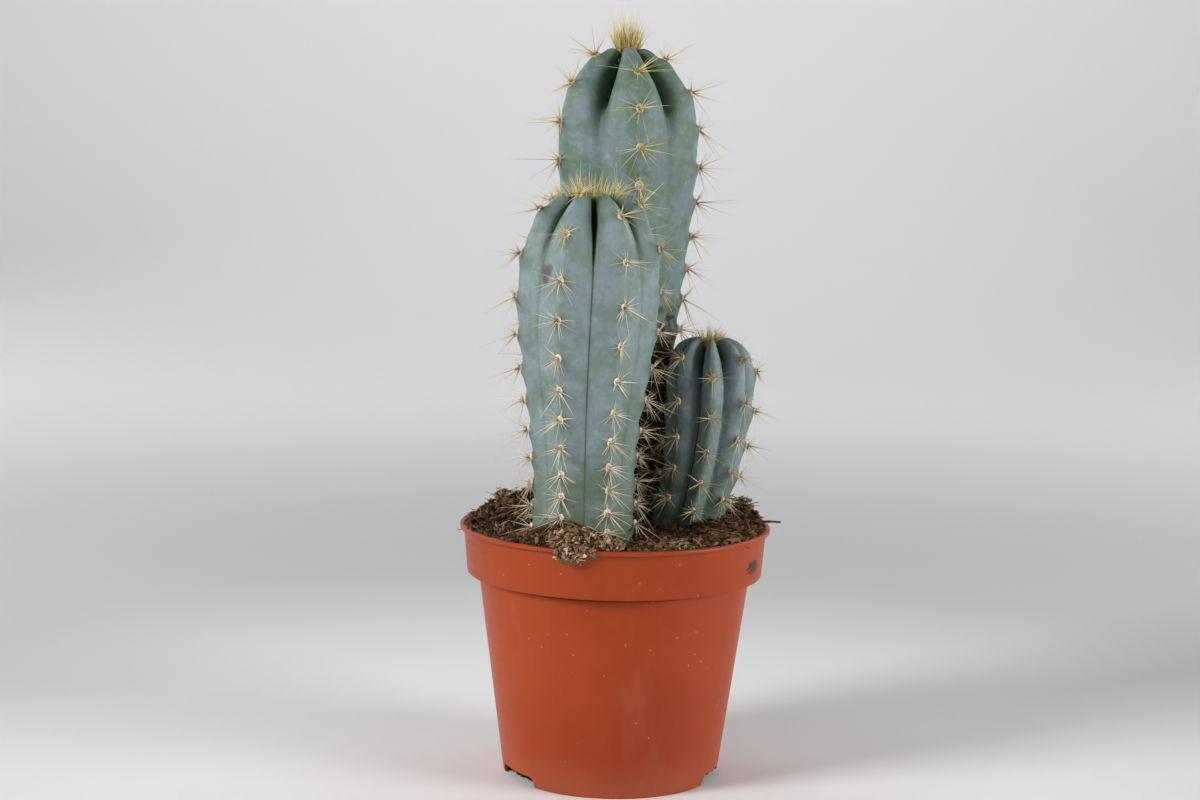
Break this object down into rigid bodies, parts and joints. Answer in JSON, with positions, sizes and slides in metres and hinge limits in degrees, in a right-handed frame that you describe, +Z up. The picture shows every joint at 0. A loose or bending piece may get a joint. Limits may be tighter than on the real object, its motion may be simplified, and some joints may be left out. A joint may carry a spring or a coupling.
{
  "type": "potted cactus",
  "caption": "Blue-green ribbed column cactus with golden spines, several stems growing in peaty mix in a tapered terracotta-coloured plastic nursery pot with a collar.",
  "frame": {"origin": "centre of the pot's footprint, on the surface that the pot stands on", "axes": "+Z up along the stems, -Y towards the viewer, with the shorter front stem before the tall one, and +X to the right, where the small stem is"},
  "size_m": [0.12, 0.12, 0.293],
  "materials": {
    "terracotta_plastic": "satin",
    "cactus_skin": "matte",
    "potting_mix": "matte",
    "dry_peat": "matte",
    "bark": "matte",
    "golden_spines": "satin",
    "areole_wool": "matte"
  },
  "bodies": {
    "root": {"pot": "terracotta_plastic", "potting_mix": "potting_mix", "front_stem": "cactus_skin", "tall_stem": "cactus_skin", "small_stem": "cactus_skin", "peat_lump_1": "dry_peat", "peat_lump_2": "dry_peat", "peat_lump_3": "dry_peat", "peat_lump_4": "dry_peat", "peat_lump_5": "dry_peat", "peat_lump_6": "dry_peat", "peat_lump_7": "dry_peat", "peat_lump_8": "dry_peat", "peat_lump_9": "dry_peat", "bark_chip_1": "bark", "bark_chip_2": "bark", "bark_chip_3": "bark", "bark_chip_4": "bark", "bark_twig": "bark"}
  },
  "joints": []
}
